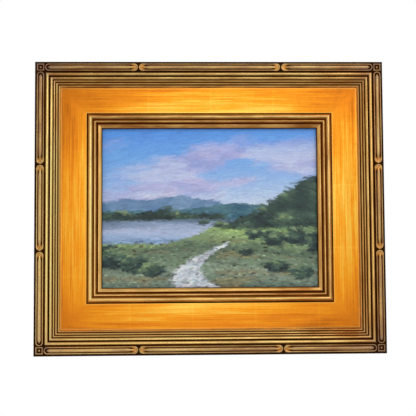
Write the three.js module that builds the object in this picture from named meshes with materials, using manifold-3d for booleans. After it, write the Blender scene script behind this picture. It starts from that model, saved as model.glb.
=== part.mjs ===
// A small landscape painting in a wide gilt frame, in millimetres.
// The pieces are laid out face up: X runs to the right, Y to the picture's top and Z to the viewer.
// The whole group is then stood up, so its back lies in the plane of the wall.

import * as THREE from 'three';
import { mergeVertices } from 'three/addons/utils/BufferGeometryUtils.js';
import Module from 'manifold-3d';

const wasm = await Module();
wasm.setup();

// Painting
const PAINTING_WIDTH = 304.8;
const PAINTING_HEIGHT = 228.6;
const PAINTING_THICKNESS = 4.5;
const PAINTING_EDGE_BEVEL = 0.6;
const PAINTING_COVER = 6.35;

// Clearances between pieces
const TOUCH_GAP = 0.3;
const MITRE_GAP = 0.3;
const RABBET_PLAY = 1.2;

// Widths across a rail's face, from the outer edge to the picture
const EDGE_WIDTH = 2.9;
const BAND_WIDTH = 10.4;
const BAND_GROOVE_WIDTH = 1.3;
const REED_WIDTHS = [4.9, 4.2, 2.9, 3.0, 2.7];
const REED_QUIRK_WIDTH = 0.8;
const PANEL_QUIRK_WIDTH = 0.6;
const PANEL_WIDTH = 34.5;
const SIGHT_SIDE_WIDTH = 2.7;
const SIGHT_BEAD_WIDTH = 5.5;
const SIGHT_GROOVE_WIDTH = 1.7;
const SIGHT_REED_WIDTH = 2.8;
const SIGHT_COVE_WIDTH = 3.1;
const LIP_WIDTH = 4.9;

// Heights of a rail's face above the wall
const BAND_HEIGHT = 33.2;
const EDGE_ROUNDING = 2.9;
const BAND_GROOVE_DEPTH = 1.9;
const PANEL_OUTER_HEIGHT = 21.0;
const PANEL_INNER_HEIGHT = 19.6;
const PANEL_QUIRK_DEPTH = 0.7;
const SIGHT_BEAD_FOOT = 23.6;
const SIGHT_GROOVE_HEIGHT = 22.2;
const LIP_INNER_HEIGHT = 18.4;
const LIP_OUTER_HEIGHT = 21.0;
const RABBET_HEIGHT = 15.0;
const SIGHT_COVE_DEPTH = 1.6;

// How far each rounded member swells above the line between its feet
const REED_RISES = [3.0, 2.1, 1.5, 1.4, 1.3];
const REED_FALLS = [0.1, 0.18, 0.22, 0.24, 0.26];
const SIGHT_BEAD_RISE = 2.9;
const SIGHT_REED_RISE = 1.5;
const LIP_RISE = 0.7;

// Carved band: long channels with a rim and a tapering rib, parted by cross ties
const TIE_DISTANCE = 139;
const TIE_WIDTH = 1.2;
const CHANNEL_MARGIN = 0.25;
const RIM_HEIGHT = 2.1;
const RIM_SLOPE_WIDTH = 0.5;
const RIM_CREST_WIDTH = 0.8;
const RIM_WIDTH = 1.8;
const CHANNEL_FLOOR_HEIGHT = 0.35;
const RIB_HALF_WIDTH = 2.4;
const RIB_HEIGHT = 3.1;
const RIB_TIE_TAPER = 13;
const RIB_BLOCK_TAPER = 5;
const RIB_TIP_SETBACK = 0.25;
const RIB_EYE = 1.6;
const CARVING_ROOT = 1.5;
const RIB_SHOULDER = { width: 0.9, height: 0.55 };
const RIB_SLOPE = { width: 0.65, height: 0.85 };
const RIB_TOP_WIDTH = 0.28;

// Corner blocks: a raised square rim around a sunk square with a button in it
const BLOCK_MARGIN = 0.3;
const BLOCK_GAP = 0.9;
const BLOCK_RIM_WIDTH = 2.0;
const BLOCK_RIM_SLOPE = 0.5;
const BLOCK_HEIGHT = 2.3;
const BLOCK_SUNK_HEIGHT = 0.2;
const BUTTON_RADIUS = 1.7;
const BUTTON_HEIGHT = 1.7;
const BUTTON_SHOULDER = 0.6;

// Keyhole hanger let into the back of the top rail, with its two screws
const HANG_DROP = 40;
const HANGER_WIDTH = 18;
const HANGER_ABOVE = 20;
const HANGER_BELOW = 32;
const HANGER_THICKNESS = 1.5;
const HANGER_CORNER = 4;
const SLOT_RADIUS = 2.4;
const HEAD_HOLE_RADIUS = 5;
const HEAD_HOLE_DROP = 12;
const HANGER_POCKET_DEPTH = 9;
const HANGER_POCKET_PLAY = 1.2;
const SCREW_INSET = 6;
const SCREW_HEAD_RADIUS = 3.2;
const SCREW_HEAD_HEIGHT = 1.7;
const SINK_EASE = 1.2;
const SCREW_SHANK_RADIUS = 1.5;
const SCREW_LENGTH = 12;
const SCREW_TIP_LENGTH = 3;
const SCREW_SLOT_WIDTH = 0.9;
const SCREW_SLOT_DEPTH = 0.7;

// Framer's points that hold the painting in the rabbet
const POINT_LENGTH = 14;
const POINT_WIDTH = 9;
const POINT_THICKNESS = 0.8;
const POINT_BITE = 5;
const POINT_TIP_WIDTH = 3;
const POINT_SPACING = 150;

// How finely rounded members are cut into flats
const WIDE_STEPS = 6;
const NARROW_STEPS = 4;
const WIDE_MEMBER = 4;
const ROUND_STEPS = 6;
const CIRCLE_STEPS = 16;
const TURNED_STEPS = 14;
const BUTTON_STEPS = 8;

// Sizes that follow from the values above
const HALF = 0.5;
const QUARTER_TURN = Math.PI / 2;
const CUT_MARGIN = 2;
const RAIL_WIDTH =
  EDGE_WIDTH + BAND_WIDTH + BAND_GROOVE_WIDTH + sum(REED_WIDTHS) + REED_QUIRK_WIDTH + PANEL_QUIRK_WIDTH +
  PANEL_WIDTH + SIGHT_SIDE_WIDTH + SIGHT_BEAD_WIDTH + SIGHT_GROOVE_WIDTH + SIGHT_REED_WIDTH +
  SIGHT_COVE_WIDTH + LIP_WIDTH;
const SIGHT_WIDTH = PAINTING_WIDTH - 2 * PAINTING_COVER;
const SIGHT_HEIGHT = PAINTING_HEIGHT - 2 * PAINTING_COVER;
const OUTER_WIDTH = SIGHT_WIDTH + 2 * RAIL_WIDTH;
const OUTER_HEIGHT = SIGHT_HEIGHT + 2 * RAIL_WIDTH;
const RABBET_WALL = RAIL_WIDTH - PAINTING_COVER - RABBET_PLAY;
const PAINTING_FACE = RABBET_HEIGHT - TOUCH_GAP;
const PAINTING_BACK = PAINTING_FACE - PAINTING_THICKNESS;
const POINT_TOP = PAINTING_BACK - TOUCH_GAP;
const BAND_CENTRE = EDGE_WIDTH + BAND_WIDTH * HALF;
const CHANNEL_HALF_WIDTH = BAND_WIDTH * HALF - CHANNEL_MARGIN;
// Levels of a rib as [share of its width, height above the band], from its root to its rounded top
const RIB_LEVELS = [
  [1, -CARVING_ROOT],
  [1, CHANNEL_FLOOR_HEIGHT],
  [RIB_SHOULDER.width, RIB_HEIGHT * RIB_SHOULDER.height],
  [RIB_SLOPE.width, RIB_HEIGHT * RIB_SLOPE.height],
  [RIB_TOP_WIDTH, RIB_HEIGHT],
];

const GOLD = 0xc98a2e;
const CANVAS = 0x8f9bb0;
const STEEL = 0x9a9a98;

function sum(values) {
  return values.reduce((total, value) => total + value, 0);
}

// Booleans

function toManifold(geometry) {
  const bare = geometry.clone();
  bare.deleteAttribute('normal');
  bare.deleteAttribute('uv');
  const welded = mergeVertices(bare, 1e-5);
  return new wasm.Manifold(new wasm.Mesh({
    numProp: 3,
    vertProperties: new Float32Array(welded.attributes.position.array),
    triVerts: new Uint32Array(welded.index.array),
  }));
}

function toGeometry(solid) {
  const mesh = solid.getMesh();
  const geometry = new THREE.BufferGeometry();
  geometry.setAttribute('position', new THREE.BufferAttribute(mesh.vertProperties, 3));
  geometry.setIndex(new THREE.BufferAttribute(mesh.triVerts, 1));
  geometry.computeVertexNormals();
  return geometry;
}

// Basic solids

// A closed solid through flat loops of the same number of points, from the lowest to the highest
function loft(loops) {
  const count = loops[0].points.length;
  const positions = loops.flatMap(({ points, z }) => points.flatMap(([x, y]) => [x, y, z]));
  const index = [];
  for (let level = 0; level + 1 < loops.length; level += 1) {
    for (let i = 0; i < count; i += 1) {
      const a = level * count + i;
      const b = level * count + (i + 1) % count;
      index.push(a, b, b + count, a, b + count, a + count);
    }
  }
  const topStart = (loops.length - 1) * count;
  index.push(...capFaces(loops[0].points).flatMap(([a, b, c]) => [a, c, b]));
  index.push(...capFaces(loops.at(-1).points).flatMap((face) => face.map((i) => topStart + i)));
  const geometry = new THREE.BufferGeometry();
  geometry.setAttribute('position', new THREE.Float32BufferAttribute(positions, 3));
  geometry.setIndex(index);
  return geometry;
}

function capFaces(points) {
  return THREE.ShapeUtils.triangulateShape(points.map(([x, y]) => new THREE.Vector2(x, y)), []);
}

function prism(points, low, high) {
  return loft([{ points, z: low }, { points, z: high }]);
}

function rectangle(left, bottom, right, top) {
  return [[left, bottom], [right, bottom], [right, top], [left, top]];
}

function circle(x, y, radius, steps = CIRCLE_STEPS) {
  return Array.from({ length: steps }, (_, i) => {
    const angle = (2 * Math.PI * i) / steps;
    return [x + radius * Math.cos(angle), y + radius * Math.sin(angle)];
  });
}

// An upright slot with round ends, from its lower centre to its upper centre
function uprightSlot(low, high, radius) {
  const points = [];
  for (let i = 0; i <= ROUND_STEPS; i += 1) {
    const angle = (Math.PI * i) / ROUND_STEPS;
    points.push([radius * Math.cos(angle), high + radius * Math.sin(angle)]);
  }
  for (let i = 0; i <= ROUND_STEPS; i += 1) {
    const angle = Math.PI + (Math.PI * i) / ROUND_STEPS;
    points.push([radius * Math.cos(angle), low + radius * Math.sin(angle)]);
  }
  return points;
}

function roundedRectangle(left, bottom, right, top, corner) {
  const shape = new THREE.Shape();
  shape.moveTo(left + corner, bottom);
  shape.lineTo(right - corner, bottom);
  shape.absarc(right - corner, bottom + corner, corner, -QUARTER_TURN, 0);
  shape.absarc(right - corner, top - corner, corner, 0, QUARTER_TURN);
  shape.absarc(left + corner, top - corner, corner, QUARTER_TURN, 2 * QUARTER_TURN);
  shape.absarc(left + corner, bottom + corner, corner, 2 * QUARTER_TURN, 3 * QUARTER_TURN);
  return shape.extractPoints(NARROW_STEPS).shape.map(({ x, y }) => [x, y]).slice(0, -1);
}

// Moulding section, as [distance from the outer edge, height above the wall]

// A half-oval swell between two feet; a negative rise hollows it out
function swell([startAt, startHeight], [endAt, endHeight], rise, steps) {
  const points = [];
  for (let i = 1; i <= steps; i += 1) {
    const angle = (Math.PI * i) / steps;
    const along = (1 - Math.cos(angle)) * HALF;
    const height = THREE.MathUtils.lerp(startHeight, endHeight, along) + rise * Math.sin(angle);
    points.push([THREE.MathUtils.lerp(startAt, endAt, along), height]);
  }
  return points;
}

function roundedEdge() {
  const points = [];
  for (let i = 0; i <= NARROW_STEPS; i += 1) {
    const angle = (QUARTER_TURN * i) / NARROW_STEPS;
    const at = EDGE_WIDTH * (1 - Math.cos(angle));
    points.push([at, BAND_HEIGHT - EDGE_ROUNDING * (1 - Math.sin(angle))]);
  }
  return points;
}

// The reeds that step down from the carved band to the flat panel
function reeds(start) {
  const points = [start];
  const fall = start[1] - PANEL_OUTER_HEIGHT;
  REED_WIDTHS.forEach((width, i) => {
    const from = points.at(-1);
    const to = [from[0] + width, from[1] - fall * REED_FALLS[i]];
    points.push(...swell(from, to, REED_RISES[i], width > WIDE_MEMBER ? WIDE_STEPS : NARROW_STEPS));
    if (i === 0) {
      points.push([to[0] + REED_QUIRK_WIDTH, to[1]]);
    }
  });
  return points;
}

function sightMoulding(start) {
  const points = [start];
  const beadStart = [start[0] + SIGHT_SIDE_WIDTH, SIGHT_BEAD_FOOT];
  points.push(beadStart);
  const beadEnd = [beadStart[0] + SIGHT_BEAD_WIDTH, SIGHT_BEAD_FOOT];
  points.push(...swell(beadStart, beadEnd, SIGHT_BEAD_RISE, WIDE_STEPS));
  const grooveEnd = [beadEnd[0] + SIGHT_GROOVE_WIDTH, SIGHT_GROOVE_HEIGHT];
  points.push(grooveEnd);
  const reedEnd = [grooveEnd[0] + SIGHT_REED_WIDTH, SIGHT_GROOVE_HEIGHT];
  points.push(...swell(grooveEnd, reedEnd, SIGHT_REED_RISE, NARROW_STEPS));
  const coveEnd = [reedEnd[0] + SIGHT_COVE_WIDTH, LIP_OUTER_HEIGHT];
  points.push(...swell(reedEnd, coveEnd, -SIGHT_COVE_DEPTH, NARROW_STEPS));
  const lipEnd = [coveEnd[0] + LIP_WIDTH, LIP_INNER_HEIGHT];
  points.push(...swell(coveEnd, lipEnd, LIP_RISE, NARROW_STEPS));
  return points;
}

function railSection() {
  const bandEnd = EDGE_WIDTH + BAND_WIDTH;
  const reedStart = [bandEnd + BAND_GROOVE_WIDTH, BAND_HEIGHT - BAND_GROOVE_DEPTH];
  const reedPoints = reeds(reedStart);
  const panelStart = reedPoints.at(-1)[0] + PANEL_QUIRK_WIDTH;
  return [
    [0, 0],
    ...roundedEdge(),
    [bandEnd, BAND_HEIGHT],
    ...reedPoints,
    [panelStart - PANEL_QUIRK_WIDTH * HALF, PANEL_OUTER_HEIGHT - PANEL_QUIRK_DEPTH],
    [panelStart, PANEL_OUTER_HEIGHT],
    ...sightMoulding([panelStart + PANEL_WIDTH, PANEL_INNER_HEIGHT]),
    [RAIL_WIDTH, RABBET_HEIGHT],
    [RABBET_WALL, RABBET_HEIGHT],
    [RABBET_WALL, 0],
  ];
}

// The section drawn out along X, outer edge on Y = 0 and face towards +Z
function straightMoulding(length) {
  const shape = new THREE.Shape(railSection().map(([at, height]) => new THREE.Vector2(at, height)));
  const geometry = new THREE.ExtrudeGeometry(shape, { depth: length, bevelEnabled: false, steps: 1 });
  geometry.applyMatrix4(new THREE.Matrix4().set(
    0, 0, -1, length * HALF,
    -1, 0, 0, 0,
    0, 1, 0, 0,
    0, 0, 0, 1,
  ));
  return toManifold(geometry);
}

// Carved band

// The outline of a channel drawn in by an inset, as a long shape with half-round ends
function channelLoop(left, right, inset) {
  const radius = CHANNEL_HALF_WIDTH - inset;
  const points = [];
  for (let i = 0; i <= ROUND_STEPS; i += 1) {
    const angle = -QUARTER_TURN + (Math.PI * i) / ROUND_STEPS;
    points.push([right - CHANNEL_HALF_WIDTH + radius * Math.cos(angle), radius * Math.sin(angle)]);
  }
  for (let i = 0; i <= ROUND_STEPS; i += 1) {
    const angle = QUARTER_TURN + (Math.PI * i) / ROUND_STEPS;
    points.push([left + CHANNEL_HALF_WIDTH + radius * Math.cos(angle), radius * Math.sin(angle)]);
  }
  return points;
}

function channelTray(left, right) {
  const levels = [
    [0, -CARVING_ROOT],
    [0, RIM_HEIGHT * HALF],
    [RIM_SLOPE_WIDTH, RIM_HEIGHT],
    [RIM_SLOPE_WIDTH + RIM_CREST_WIDTH, RIM_HEIGHT],
    [RIM_WIDTH, CHANNEL_FLOOR_HEIGHT],
  ];
  return toManifold(loft(levels.map(([inset, height]) => ({
    points: channelLoop(left, right, inset),
    z: BAND_HEIGHT + height,
  }))));
}

// The outline of a rib: straight sides that curve in to a point at each end,
// drawn in towards its middle by a share of its full width
function ribLoop(left, right, leftTaper, rightTaper, share) {
  const half = RIB_HALF_WIDTH * share;
  const drawnIn = 1 - (1 - share) * RIB_TIP_SETBACK;
  const taperSide = (tip, taper, direction, side) => Array.from({ length: ROUND_STEPS }, (_, i) => {
    const along = i / ROUND_STEPS;
    const x = tip - direction * taper * (1 - along * drawnIn);
    return [x, side * half * (1 - along * along)];
  });
  const rightTip = [right - rightTaper * (1 - drawnIn), 0];
  const leftTip = [left + leftTaper * (1 - drawnIn), 0];
  return [
    ...taperSide(right, rightTaper, 1, -1),
    rightTip,
    ...taperSide(right, rightTaper, 1, 1).reverse(),
    ...taperSide(left, leftTaper, -1, 1),
    leftTip,
    ...taperSide(left, leftTaper, -1, -1).reverse(),
  ];
}

function rib(left, right, leftTaper, rightTaper) {
  return toManifold(loft(RIB_LEVELS.map(([share, height]) => ({
    points: ribLoop(left, right, leftTaper, rightTaper, share),
    z: BAND_HEIGHT + height,
  }))));
}

// One channel with its rib; an end at a corner block has a short, blunt taper
function channel(left, right, leftAtBlock, rightAtBlock) {
  const ribInset = RIM_WIDTH + RIB_EYE;
  const leftTaper = leftAtBlock ? RIB_BLOCK_TAPER : RIB_TIE_TAPER;
  const rightTaper = rightAtBlock ? RIB_BLOCK_TAPER : RIB_TIE_TAPER;
  return channelTray(left, right).add(rib(left + ribInset, right - ribInset, leftTaper, rightTaper));
}

function squareLoop(half) {
  return rectangle(-half, -half, half, half);
}

function cornerBlock() {
  const half = BAND_WIDTH * HALF - BLOCK_MARGIN;
  const levels = [
    [half, -CARVING_ROOT],
    [half, BLOCK_HEIGHT * HALF],
    [half - BLOCK_RIM_SLOPE, BLOCK_HEIGHT],
    [half - BLOCK_RIM_WIDTH + BLOCK_RIM_SLOPE, BLOCK_HEIGHT],
    [half - BLOCK_RIM_WIDTH, BLOCK_SUNK_HEIGHT],
  ];
  const button = [
    [BUTTON_RADIUS, -CARVING_ROOT],
    [BUTTON_RADIUS, BLOCK_SUNK_HEIGHT],
    [BUTTON_RADIUS * BUTTON_SHOULDER, BUTTON_HEIGHT],
  ];
  const square = loft(levels.map(([side, height]) => ({
    points: squareLoop(side),
    z: BAND_HEIGHT + height,
  })));
  const knob = loft(button.map(([radius, height]) => ({
    points: circle(0, 0, radius, BUTTON_STEPS),
    z: BAND_HEIGHT + height,
  })));
  return toManifold(square).add(toManifold(knob));
}

// The carving along one rail: a block at each end and three channels between them, parted by ties
function carvedBand(length) {
  const blockCentre = length * HALF - BAND_CENTRE;
  const blockSide = blockCentre - BAND_WIDTH * HALF + BLOCK_MARGIN;
  const firstEnd = blockSide - BLOCK_GAP;
  const tie = length * HALF - TIE_DISTANCE;
  const tieSide = TIE_WIDTH * HALF;
  return [
    cornerBlock().translate([-blockCentre, 0, 0]),
    channel(-firstEnd, -tie - tieSide, true, false),
    channel(-tie + tieSide, tie - tieSide, false, false),
    channel(tie + tieSide, firstEnd, false, true),
    cornerBlock().translate([blockCentre, 0, 0]),
  ].map((solid) => solid.translate([0, -BAND_CENTRE, 0]));
}

// Rails

// Everything between the two mitre planes of a rail
function mitreWedge(length) {
  const outer = length * HALF - MITRE_GAP * Math.SQRT1_2 + CUT_MARGIN;
  const inner = outer - RAIL_WIDTH - 2 * CUT_MARGIN;
  const points = [
    [-inner, -RAIL_WIDTH - CUT_MARGIN],
    [inner, -RAIL_WIDTH - CUT_MARGIN],
    [outer, CUT_MARGIN],
    [-outer, CUT_MARGIN],
  ];
  return toManifold(prism(points, -CUT_MARGIN, BAND_HEIGHT + RIB_HEIGHT + CUT_MARGIN));
}

function pointSlot(x) {
  const half = POINT_WIDTH * HALF + TOUCH_GAP;
  const deepest = -(RABBET_WALL - POINT_BITE - TOUCH_GAP);
  const outline = rectangle(x - half, -RABBET_WALL - CUT_MARGIN, x + half, deepest);
  return toManifold(prism(outline, POINT_TOP - POINT_THICKNESS - TOUCH_GAP, POINT_TOP + TOUCH_GAP));
}

function rail(length, pointPlaces) {
  const carved = carvedBand(length).reduce((solid, piece) => solid.add(piece), straightMoulding(length));
  const mitred = carved.intersect(mitreWedge(length));
  return pointPlaces.reduce((solid, x) => solid.subtract(pointSlot(x)), mitred);
}

// A framer's point: a flat steel slip whose narrowed end is pressed into the rabbet wall
function framersPoint() {
  const bitten = -(RABBET_WALL - POINT_BITE);
  const tail = bitten - POINT_LENGTH;
  const points = [
    [-POINT_WIDTH * HALF, tail],
    [POINT_WIDTH * HALF, tail],
    [POINT_WIDTH * HALF, -RABBET_WALL],
    [POINT_TIP_WIDTH * HALF, bitten],
    [-POINT_TIP_WIDTH * HALF, bitten],
    [-POINT_WIDTH * HALF, -RABBET_WALL],
  ];
  return prism(points, POINT_TOP - POINT_THICKNESS, POINT_TOP);
}

// Painting

function paintingPanel() {
  const halfWidth = PAINTING_WIDTH * HALF;
  const halfHeight = PAINTING_HEIGHT * HALF;
  const loop = (inset) => {
    const [x, y] = [halfWidth - inset, halfHeight - inset];
    return rectangle(-x, -y, x, y);
  };
  return loft([
    { points: loop(0), z: PAINTING_BACK },
    { points: loop(0), z: PAINTING_FACE - PAINTING_EDGE_BEVEL },
    { points: loop(PAINTING_EDGE_BEVEL), z: PAINTING_FACE },
  ]);
}

// Hanger, with the top of its slot at the origin and its face in the wall plane

function hangerOutline(grown) {
  const half = HANGER_WIDTH * HALF + grown;
  return roundedRectangle(-half, -HANGER_BELOW - grown, half, HANGER_ABOVE + grown, HANGER_CORNER + grown);
}

// A solid of revolution about Z through [radius, z] points listed upwards
function turned(profile) {
  const points = profile.map(([radius, z]) => new THREE.Vector2(radius, z));
  const geometry = new THREE.LatheGeometry(points, TURNED_STEPS);
  geometry.rotateX(QUARTER_TURN);
  return toManifold(geometry);
}

function hangerRecess() {
  const bed = toManifold(prism(hangerOutline(TOUCH_GAP), -CUT_MARGIN, HANGER_THICKNESS + TOUCH_GAP));
  const pocketOutline = uprightSlot(-HEAD_HOLE_DROP, -SLOT_RADIUS, HEAD_HOLE_RADIUS + HANGER_POCKET_PLAY);
  const pocket = toManifold(prism(pocketOutline, -CUT_MARGIN, HANGER_POCKET_DEPTH));
  const pilots = screwPlaces().map((y) => {
    const hole = prism(circle(0, y, SCREW_SHANK_RADIUS + TOUCH_GAP), -CUT_MARGIN, SCREW_LENGTH + TOUCH_GAP);
    return toManifold(hole);
  });
  return pilots.reduce((solid, pilot) => solid.add(pilot), bed.add(pocket));
}

function screwPlaces() {
  return [HANGER_ABOVE - SCREW_INSET, SCREW_INSET - HANGER_BELOW];
}

function hangerPlate() {
  const plate = toManifold(prism(hangerOutline(0), 0, HANGER_THICKNESS));
  const slot = toManifold(prism(
    uprightSlot(-HEAD_HOLE_DROP, -SLOT_RADIUS, SLOT_RADIUS),
    -CUT_MARGIN,
    HANGER_THICKNESS + CUT_MARGIN,
  ));
  const headHole = toManifold(prism(
    circle(0, -HEAD_HOLE_DROP, HEAD_HOLE_RADIUS),
    -CUT_MARGIN,
    HANGER_THICKNESS + CUT_MARGIN,
  ));
  const sinks = screwPlaces().map((y) => countersink().translate([0, y, 0]));
  return sinks.reduce((solid, sink) => solid.subtract(sink), plate.subtract(slot).subtract(headHole));
}

function countersink() {
  const slope = (SCREW_HEAD_RADIUS - SCREW_SHANK_RADIUS) / SCREW_HEAD_HEIGHT;
  const top = SCREW_HEAD_RADIUS + TOUCH_GAP * SINK_EASE;
  return turned([
    [0, -CUT_MARGIN],
    [top + slope * CUT_MARGIN, -CUT_MARGIN],
    [top - slope * SCREW_HEAD_HEIGHT, SCREW_HEAD_HEIGHT],
    [top - slope * SCREW_HEAD_HEIGHT, HANGER_THICKNESS + CUT_MARGIN],
    [0, HANGER_THICKNESS + CUT_MARGIN],
  ]);
}

function screw() {
  const body = turned([
    [0, 0],
    [SCREW_HEAD_RADIUS, 0],
    [SCREW_SHANK_RADIUS, SCREW_HEAD_HEIGHT],
    [SCREW_SHANK_RADIUS, SCREW_LENGTH - SCREW_TIP_LENGTH],
    [0, SCREW_LENGTH],
  ]);
  const reach = SCREW_HEAD_RADIUS + CUT_MARGIN;
  const side = SCREW_SLOT_WIDTH * HALF;
  const driverSlot = prism(rectangle(-reach, -side, reach, side), -CUT_MARGIN, SCREW_SLOT_DEPTH);
  return body.subtract(toManifold(driverSlot));
}

// Assembly

const gilding = () => new THREE.MeshStandardMaterial({ color: GOLD, roughness: 0.38, metalness: 0.7 });
const paint = () => new THREE.MeshStandardMaterial({ color: CANVAS, roughness: 0.55, metalness: 0 });
const steel = () => new THREE.MeshStandardMaterial({ color: STEEL, roughness: 0.35, metalness: 0.9 });

const frame = new THREE.Group();
frame.position.y = HANG_DROP - OUTER_HEIGHT * HALF;

function addPiece(parent, name, geometry, material) {
  const mesh = new THREE.Mesh(geometry, material);
  mesh.name = name;
  parent.add(mesh);
  return mesh;
}

// Each side is a group whose origin is the middle of the rail's outer edge
const level = {
  out: OUTER_HEIGHT * HALF,
  length: OUTER_WIDTH,
  points: [-POINT_SPACING * HALF, POINT_SPACING * HALF],
};
const upright = { out: OUTER_WIDTH * HALF, length: OUTER_HEIGHT, points: [0] };
const sides = [
  { name: 'top', turn: 0, ...level },
  { name: 'right', turn: -1, ...upright },
  { name: 'bottom', turn: 2, ...level },
  { name: 'left', turn: 1, ...upright },
];

for (const side of sides) {
  const group = new THREE.Group();
  const angle = side.turn * QUARTER_TURN;
  group.rotation.z = angle;
  group.position.set(-Math.sin(angle) * side.out, Math.cos(angle) * side.out, 0);
  frame.add(group);
  let solid = rail(side.length, side.points);
  if (side.name === 'top') {
    solid = solid.subtract(hangerRecess().translate([0, -HANG_DROP, 0]));
  }
  addPiece(group, `frame_rail_${side.name}`, toGeometry(solid), gilding());
  side.points.forEach((x, i) => {
    const suffix = side.points.length > 1 ? `_${i + 1}` : '';
    addPiece(group, `framers_point_${side.name}${suffix}`, framersPoint(), steel()).position.x = x;
  });
}

addPiece(frame, 'painting_panel', paintingPanel(), paint());

const hanger = new THREE.Group();
addPiece(hanger, 'keyhole_hanger', toGeometry(hangerPlate()), steel());
screwPlaces().forEach((y, i) => {
  addPiece(hanger, `hanger_screw_${['upper', 'lower'][i]}`, toGeometry(screw()), steel()).position.y = y;
});

const part = new THREE.Group();
part.add(frame, hanger);
part.rotation.x = QUARTER_TURN;

export default part;
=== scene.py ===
"""The look of a small landscape painting in a wide gilt frame."""

import math
from functools import partialmethod
from typing import NamedTuple

import bpy
import numpy as np
from mathutils import Matrix, Vector


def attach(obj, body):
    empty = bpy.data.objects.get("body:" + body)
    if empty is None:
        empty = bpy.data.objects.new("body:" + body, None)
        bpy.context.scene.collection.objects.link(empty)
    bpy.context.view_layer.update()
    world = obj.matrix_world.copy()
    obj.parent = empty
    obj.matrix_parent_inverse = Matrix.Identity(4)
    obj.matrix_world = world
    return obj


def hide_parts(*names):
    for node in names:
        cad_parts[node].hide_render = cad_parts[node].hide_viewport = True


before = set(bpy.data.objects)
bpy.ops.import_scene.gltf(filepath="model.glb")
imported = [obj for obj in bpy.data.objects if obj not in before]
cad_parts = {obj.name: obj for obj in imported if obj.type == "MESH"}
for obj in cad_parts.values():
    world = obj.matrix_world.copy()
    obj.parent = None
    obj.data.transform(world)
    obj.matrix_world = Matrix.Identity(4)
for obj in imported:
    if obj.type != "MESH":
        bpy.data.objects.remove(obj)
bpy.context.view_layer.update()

MM = 0.001

# Sizes in millimetres, as the solids have them

PAINTING_WIDTH = 304.8
PAINTING_HEIGHT = 228.6
PAINTING_THICKNESS = 4.5
PAINTING_COVER = 6.35
RABBET_PLAY = 1.2
TOUCH_GAP = 0.3
MITRE_GAP = 0.02

EDGE_WIDTH = 2.9
BAND_WIDTH = 10.4
BAND_GROOVE_WIDTH = 1.3
REED_WIDTHS = (4.9, 4.2, 2.9, 3.0, 2.7)
REED_RISES = (3.0, 2.1, 1.5, 1.4, 1.3)
REED_FALLS = (0.1, 0.18, 0.22, 0.24, 0.26)
REED_QUIRK_WIDTH = 0.8
PANEL_QUIRK_WIDTH = 0.6
PANEL_WIDTH = 34.5
PANEL_BORDER = 0.6
SIGHT_SIDE_WIDTH = 2.7
SIGHT_BEAD_WIDTH = 5.5
SIGHT_GROOVE_WIDTH = 1.7
SIGHT_REED_WIDTH = 2.8
SIGHT_COVE_WIDTH = 3.1
LIP_WIDTH = 4.9

BAND_HEIGHT = 33.2
EDGE_ROUNDING = 2.9
BAND_GROOVE_DEPTH = 1.9
PANEL_OUTER_HEIGHT = 21.0
PANEL_INNER_HEIGHT = 19.6
PANEL_QUIRK_DEPTH = 0.7
SIGHT_BEAD_FOOT = 23.6
SIGHT_BEAD_RISE = 2.9
SIGHT_GROOVE_HEIGHT = 22.2
SIGHT_REED_RISE = 1.5
SIGHT_COVE_DEPTH = 1.6
LIP_OUTER_HEIGHT = 21.0
LIP_INNER_HEIGHT = 18.4
LIP_RISE = 0.7
RABBET_HEIGHT = 15.0

TIE_DISTANCE = 139.0
TIE_WIDTH = 1.2
CHANNEL_MARGIN = 0.25
CHANNEL_FLOOR_HEIGHT = 0.35
RIM_WIDTH = 1.8
RIM_HEIGHT = 2.1
RIB_HALF_WIDTH = 2.4
RIB_HEIGHT = 3.1
RIB_TIE_TAPER = 13.0
RIB_BLOCK_TAPER = 5.0
RIB_EYE = 1.6
BLOCK_MARGIN = 0.3
BLOCK_GAP = 0.9
BLOCK_HEIGHT = 2.3
BLOCK_SUNK_HEIGHT = 0.2
BUTTON_RADIUS = 1.7
BUTTON_HEIGHT = 1.7

HANG_DROP = 40.0
HANGER_WIDTH = 18.0
HANGER_ABOVE = 20.0
HANGER_BELOW = 32.0
HANGER_THICKNESS = 1.5
HANGER_CORNER = 4.0
HEAD_HOLE_RADIUS = 5.0
HEAD_HOLE_DROP = 12.0
SLOT_RADIUS = 2.4
HANGER_POCKET_DEPTH = 9.0
HANGER_POCKET_PLAY = 1.2
SCREW_INSET = 6.0
SCREW_SHANK_RADIUS = 1.5
SCREW_LENGTH = 12.0
POINT_WIDTH = 9.0
POINT_THICKNESS = 0.8
POINT_BITE = 5.0
POINT_SPACING = 150.0

RAIL_WIDTH = (
    EDGE_WIDTH + BAND_WIDTH + BAND_GROOVE_WIDTH + sum(REED_WIDTHS) + REED_QUIRK_WIDTH + PANEL_QUIRK_WIDTH
    + PANEL_WIDTH + SIGHT_SIDE_WIDTH + SIGHT_BEAD_WIDTH + SIGHT_GROOVE_WIDTH + SIGHT_REED_WIDTH
    + SIGHT_COVE_WIDTH + LIP_WIDTH
)
SIGHT_WIDTH = PAINTING_WIDTH - 2 * PAINTING_COVER
SIGHT_HEIGHT = PAINTING_HEIGHT - 2 * PAINTING_COVER
OUTER_WIDTH = SIGHT_WIDTH + 2 * RAIL_WIDTH
OUTER_HEIGHT = SIGHT_HEIGHT + 2 * RAIL_WIDTH
BAND_END = EDGE_WIDTH + BAND_WIDTH
RABBET_WALL = RAIL_WIDTH - PAINTING_COVER - RABBET_PLAY
PAINTING_FACE = RABBET_HEIGHT - TOUCH_GAP
PAINTING_BACK = PAINTING_FACE - PAINTING_THICKNESS
POINT_TOP = PAINTING_BACK - TOUCH_GAP
BAND_CENTRE = EDGE_WIDTH + BAND_WIDTH / 2
CHANNEL_HALF_WIDTH = BAND_WIDTH / 2 - CHANNEL_MARGIN
BLOCK_HALF_WIDTH = BAND_WIDTH / 2 - BLOCK_MARGIN
CENTRE_DROP = HANG_DROP - OUTER_HEIGHT / 2


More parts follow.
